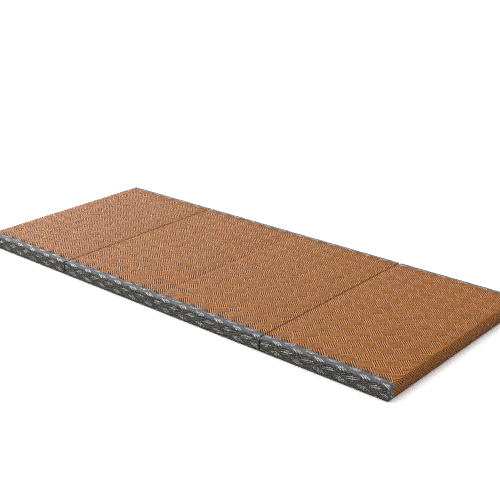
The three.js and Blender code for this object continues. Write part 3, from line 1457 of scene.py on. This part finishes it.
@dataclass
class Gusset:
    """Cloth that closes one section's side wall, sewn in under the border's rim."""

    section: int
    side: Side
    shape: MatShape
    finish: bpy.types.Material
    thickness: float = 1.2
    step: float = 6.0
    rows: int = 9
    hem_lines: tuple[float, ...] = (0.5, 1.1, 2.0, 3.2)
    foot_shift: float = 0.999
    side_tuck: Bell = Bell(1.4, 1.3)
    foot_tuck: Bell = Bell(1.1, 1.7)
    bulge: float = 0.7
    bulge_fade: float = 25.0
    puckers: tuple[tuple[float, float, int], ...] = ((0.22, 31.0, 1), (0.14, 11.7, 2))

    def build(self) -> None:
        """Makes the gusset and tells the frame what it is."""
        shape = self.shape
        node = f"gusset_{self.side.word}_{self.section}"
        low, high = (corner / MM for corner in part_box(node))
        low.z = shape.hem
        height = high.z - low.z
        hems = np.array(self.hem_lines)
        inner = np.linspace(low.x, high.x, round((high.x - low.x) / self.step) + 1)
        xs = np.unique(np.concatenate([inner, low.x + hems, high.x - hems]))
        inner = low.z + np.linspace(0, height, self.rows)
        zs = np.concatenate([low.z + hems * self.foot_shift, inner, high.z - hems])
        zs = np.unique(np.clip(zs, low.z, high.z))
        x, z = (grid.ravel() for grid in np.meshgrid(xs, zs, indexing="ij"))
        beside = np.minimum(x - low.x, high.x - x)
        above = z - low.z
        depth = self.side_tuck.at(beside) + self.side_tuck.at(high.z - z) + self.foot_tuck.at(above)
        full = np.sin(np.pi * np.clip(above / height, 0, 1))
        waves = sum(size * np.sin(x / reach + turn * self.section) for size, reach, turn in self.puckers)
        depth = depth - (self.bulge + waves) * full * ramp(beside, 0, self.bulge_fade)
        y = self.side.sign * (shape.half_width - depth)
        v = shape.half_width - shape.radius - shape.seam + shape.turn + shape.rim - shape.radius - z
        quads = grid_quads(len(xs), len(zs))
        if self.side is Side.FAR:
            quads = quads[:, ::-1]
        piece = sheet_from_faces(
            f"side_cloth_{self.side.word}_{self.section}",
            shape.settled(np.stack([x, y, z], axis=1)),
            np.stack([x, v], axis=1)[quads].reshape(-1, 2),
            quads,
            self.finish,
            self.thickness,
        )
        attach(piece, "root")
        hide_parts(node)
        LOG.info("%s: %d vertices", piece.name, len(piece.data.vertices))


@dataclass
class PadPair:
    """Two filled sections in their backing cloth, joined by it under an outer joint."""

    word: str
    sign: int
    shape: MatShape
    finish: bpy.types.Material
    depth: float = 2.3
    middle_gap: float = 2.6
    hinge_height: float = 2.0
    hinge_bevel: float = 1.0
    hinge_reach: float = 8.0
    hinge_fold: tuple[tuple[float, float], ...] = (
        (3.0, 0.0),
        (1.2, 0.5),
        (0.0, 0.8),
        (-1.2, 0.5),
        (-3.0, 0.0),
    )
    foot_reach: float = 10.0
    foot_points: int = 12
    top_points: int = 17
    foot_radius: float = 1.5
    side_margin: float = 12.0
    corner_gap: float = 0.3
    corner_depth: float = 0.5
    corner_width: float = 6.0
    corner_reach: float = 9.0
    corner_height: float = 43.0
    corner_rounding: float = 1.2
    backing_low: float = 0.5
    backing_high: float = 2.3
    backing_rounding: float = 0.8

    def profile(self) -> np.ndarray:
        """Outline of the pair seen from its long side, for the right-hand pair.

        Returns:
            Points along the mat and up it, in order round the outline.
        """
        shape = self.shape
        foot = self.foot_radius
        edge = shape.radius - self.depth
        top = shape.rim - self.depth
        first = self.middle_gap / 2
        end = shape.half_length - self.depth
        slit = shape.joint_gap / 2 + self.depth
        before, after = shape.joint - slit, shape.joint + slit

        # Over the tops of both sections, down into the joint between them and out of it.
        corners: list[tuple[float, float]] = []
        for low, high in ((first, before), (after, end)):
            corners += arc(low + edge, top - edge, edge, math.pi, QUARTER)
            shares = np.linspace(0, 1, self.top_points)[1:-1]
            corners += [(low + share * (high - low), top) for share in shares]
            corners += arc(high - edge, top - edge, edge, QUARTER, 0)
            if high == before:
                low_z, high_z = self.hinge_height, self.hinge_height + self.hinge_bevel
                corners += [(before, high_z), (before + self.hinge_bevel, low_z)]
                corners += [(after - self.hinge_bevel, low_z), (after, high_z)]

        # Back along the underside, which lifts a little at the hinge.
        corners += arc(end - foot, foot, foot, 0, -QUARTER)
        far = np.linspace(end - self.foot_reach, shape.joint + self.hinge_reach, self.foot_points)
        near = np.linspace(shape.joint - self.hinge_reach, first + self.foot_reach, self.foot_points)
        corners += [(float(x), 0.0) for x in far]
        corners += [(shape.joint + offset, lift) for offset, lift in self.hinge_fold]
        corners += [(float(x), 0.0) for x in near]
        corners += arc(first + foot, foot, foot, -QUARTER, -math.pi)
        return np.array(corners)

    def build_body(self) -> bpy.types.Object:
        """Sweeps the outline across the mat and rounds it in at both long sides.

        Returns:
            The pad as a closed mesh.
        """
        outline = self.profile()
        after = np.roll(outline, -1, axis=0) - outline
        before = outline - np.roll(outline, 1, axis=0)
        along = after / np.linalg.norm(after, axis=1, keepdims=True)
        along = along + before / np.linalg.norm(before, axis=1, keepdims=True)
        along /= np.maximum(np.linalg.norm(along, axis=1, keepdims=True), 1e-6)
        inwards = np.stack([along[:, 1], -along[:, 0]], axis=1)
        side = self.shape.half_width - self.depth
        foot = self.foot_radius
        turned = arc(side - foot, foot, foot, -QUARTER, 0)
        margin = side - self.side_margin
        places = [(-y, inset) for y, inset in reversed(turned)]
        places += [(y, 0.0) for y in np.linspace(-margin, margin, 21)] + turned
        rings = []
        for y, inset in places:
            ring = outline + inwards * inset
            rings.append(np.stack([ring[:, 0], np.full(len(ring), y), ring[:, 1]], axis=1))
        points = np.concatenate(rings)
        points[:, 0] *= self.sign
        count = len(outline)
        faces = []
        for row in range(len(places) - 1):
            here, there = row * count, (row + 1) * count
            for column in range(count):
                after_column = (column + 1) % count
                faces.append((here + column, here + after_column, there + after_column, there + column))
        faces.append(tuple(range(count))[::-1])
        faces.append(tuple(range((len(places) - 1) * count, len(places) * count)))
        mesh = bpy.data.meshes.new(f"pad_cover_{self.word}")
        mesh.from_pydata((self.shape.settled(points) * MM).tolist(), [], faces)
        self.add_folded_cloth(mesh)
        mesh.materials.append(self.finish)
        mesh.shade_smooth()
        return link_object(mesh.name, mesh)

    def add_folded_cloth(self, mesh: bpy.types.Mesh) -> None:
        """Adds the edge of backing cloth round the foot, and its folded corners at the middle joint.

        Args:
            mesh: Mesh of the pad, which gets them.
        """
        work = bmesh.new()
        work.from_mesh(mesh)
        bmesh.ops.recalc_face_normals(work, faces=work.faces[:])
        near = self.middle_gap / 2 + self.corner_gap
        outer = self.shape.half_width - self.corner_depth
        inner = outer - self.corner_reach
        end = self.shape.half_length - self.corner_depth
        slab = ((near, -outer, self.backing_low), (end, outer, self.backing_high), self.backing_rounding)
        boxes = [slab]
        for low_y, high_y in ((-outer, -inner), (inner, outer)):
            low, high = (near, low_y, self.corner_gap), (self.corner_width, high_y, self.corner_height)
            boxes.append((low, high, self.corner_rounding))
        for low, high, rounding in boxes:
            made = bmesh.ops.create_cube(work, size=1)["verts"]
            for vert in made:
                corner = [high[axis] if vert.co[axis] > 0 else low[axis] for axis in range(3)]
                vert.co = Vector((self.sign * corner[0], corner[1], corner[2])) * MM
            edges = {edge for vert in made for edge in vert.link_edges}
            faces = {face for vert in made for face in vert.link_faces}
            bmesh.ops.recalc_face_normals(work, faces=list(faces))
            bmesh.ops.bevel(
                work,
                geom=list(edges),
                offset=rounding * MM,
                segments=3,
                profile=0.5,
                affect="EDGES",
            )
        work.to_mesh(mesh)
        work.free()

    def build(self) -> None:
        """Makes the pad and tells the frame what it is."""
        piece = self.build_body()
        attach(piece, "root")
        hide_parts(f"pad_{self.word}")
        LOG.info("%s: %d vertices", piece.name, len(piece.data.vertices))


@dataclass
class Studio:
    """Pale floor, soft light and the camera, in metres and degrees, placed from the mat's own edges."""

    camera_place: tuple[float, float, float] = (2.1964, -2.4021, 1.3818)
    yaw: float = -41.2409
    pitch: float = 21.5489
    roll: float = -0.4505
    lens: float = 68.65
    film_width: float = 36.0
    view_reach: float = 500.0
    floor_half: float = 60.0
    floor_colour: str = "#fafaf9"
    floor_roughness: float = 0.85
    floor_unevenness: float = 0.1
    floor_scale: float = 0.7
    surround: float = 0.52
    high_strength: float = 2.6
    high_from: tuple[float, float, float] = (-0.35, -0.1, 1.0)
    high_spread: float = 60.0
    low_strength: float = 4.2
    low_from: tuple[float, float, float] = (-0.82, 0.36, 0.46)
    low_spread: float = 36.0
    side_power: float = 10.5
    side_size: float = 1.0
    side_place: tuple[float, float, float] = (-1.6, -1.3, 1.3)
    side_aim: tuple[float, float, float] = (-0.5, -0.2, 0.0)
    filter_width: float = 1.4

    def build_camera(self) -> None:
        """Makes the camera, turned by yaw, then pitch, then roll."""
        yaw, pitch, roll = (math.radians(a) for a in (self.yaw, self.pitch, self.roll))
        level = math.cos(pitch)
        ahead = Vector((math.sin(yaw) * level, math.cos(yaw) * level, -math.sin(pitch)))
        right = Vector((math.cos(yaw), -math.sin(yaw), 0))
        up = right.cross(ahead)
        turned_right = math.cos(roll) * right + math.sin(roll) * up
        turned_up = math.cos(roll) * up - math.sin(roll) * right
        data = bpy.data.cameras.new("camera")
        data.lens = self.lens
        data.sensor_width = self.film_width
        data.clip_end = self.view_reach
        camera = bpy.data.objects.new("camera", data)
        turn = Matrix((turned_right, turned_up, -ahead)).transposed()
        camera.matrix_world = Matrix.LocRotScale(Vector(self.camera_place), turn.to_quaternion(), None)
        bpy.context.scene.collection.objects.link(camera)
        bpy.context.scene.camera = camera

    def build_floor(self) -> None:
        """Makes the pale floor."""
        # Matt painted board looks even and pale, with no shine and a faint unevenness.
        made, add, shader = new_material("matt_painted_board")
        spot = add("ShaderNodeTexCoord").outputs["Object"]
        noise = add(NOISE, {"Vector": spot, "Scale": self.floor_scale})
        rough = add("MULTIPLY_ADD", [noise, self.floor_unevenness, self.floor_roughness])
        even = {"Base Color": linear(self.floor_colour), "Specular IOR Level": 0.0}
        feed(shader, even | {"Roughness": rough})
        half = self.floor_half
        corners = [(-half, -half, 0), (half, -half, 0), (half, half, 0), (-half, half, 0)]
        mesh = bpy.data.meshes.new("floor")
        mesh.from_pydata(corners, [], [(0, 1, 2, 3)])
        mesh.materials.append(made)
        link_object("floor", mesh)

    def build_light(self) -> None:
        """Makes a high light, a low one that skims the cane, a small one at the near side and a surround."""
        scene = bpy.context.scene
        scene.view_settings.view_transform = "Standard"
        # The weave is as fine as a pixel, and smoothing between pixels would wipe it out.
        scene.cycles.use_denoising = False
        scene.cycles.filter_width = self.filter_width
        world = bpy.data.worlds.new("studio")
        world.use_nodes = True
        plain = {"Color": (1.0, 1.0, 1.0, 1.0), "Strength": self.surround}
        feed(world.node_tree.nodes["Background"], plain)
        scene.world = world
        suns = (
            ("high_light", self.high_strength, self.high_spread, self.high_from),
            ("low_light", self.low_strength, self.low_spread, self.low_from),
        )
        lights = []
        for name, strength, spread, back in suns:
            data = bpy.data.lights.new(name, "SUN")
            data.energy = strength
            data.angle = math.radians(spread)
            lights.append((data, Vector(), Vector(back)))
        data = bpy.data.lights.new("side_light", "AREA")
        data.shape = "DISK"
        data.size = self.side_size
        data.energy = self.side_power
        place_at = Vector(self.side_place)
        lights.append((data, place_at, place_at - Vector(self.side_aim)))
        for data, place_at, back in lights:
            light = bpy.data.objects.new(data.name, data)
            light.location = place_at
            light.rotation_mode = "QUATERNION"
            light.rotation_quaternion = back.to_track_quat("Z", "Y")
            scene.collection.objects.link(light)

    def build(self) -> None:
        """Makes the camera, the floor and the lights."""
        self.build_camera()
        self.build_floor()
        self.build_light()
        LOG.info("studio ready")


def main() -> None:
    """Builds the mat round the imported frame."""
    logging.basicConfig(level=logging.INFO, format="%(name)s: %(message)s")
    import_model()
    Studio().build()
    shape = MatShape.from_frame()
    layer = RodLayer(build_laid_pieces_tree())
    cane = CaneFinish().material()
    under = UnderweaveFinish().material()
    border_cloth = FiguredClothFinish(
        name="border_figured_cloth",
        ground="#0c0e12",
        ground_light="#2a2e36",
        thread="#e6e4e0",
        plain_share=0.17,
        phase_a=0.8584,
        phase_b=-0.4466,
    ).material()
    gusset_cloth = FiguredClothFinish(
        name="gusset_figured_cloth",
        ground="#060505",
        ground_light="#2e2c27",
        thread="#f0ece2",
        float_share=0.3,
        float_pitch=5.0,
        plain_share=0.25,
        figure_width=35.0,
        phase_a=1.0353,
        phase_b=-0.5647,
        specular=0.15,
        sheen=0.0,
    ).material()
    backing = PlainClothFinish().material()
    thread = ThreadFinish().material()
    for word, sign in (("left", -1), ("right", 1)):
        PadPair(word, sign, shape, backing).build()
    phases = {Run.LEFT: (0.963, 0.515), Run.MIDDLE: (1.58, 1.0245), Run.RIGHT: (1.041, 0.583)}
    for run, (phase_a, phase_b) in phases.items():
        WovenCane(run, shape, layer, cane, under, phase_a, phase_b).build()
        for side in Side:
            ClothBorder(run, side, shape, layer, border_cloth, thread).build()
            for section in run.sections:
                Gusset(section, side, shape, gusset_cloth).build()


if __name__ == "__main__":
    main()
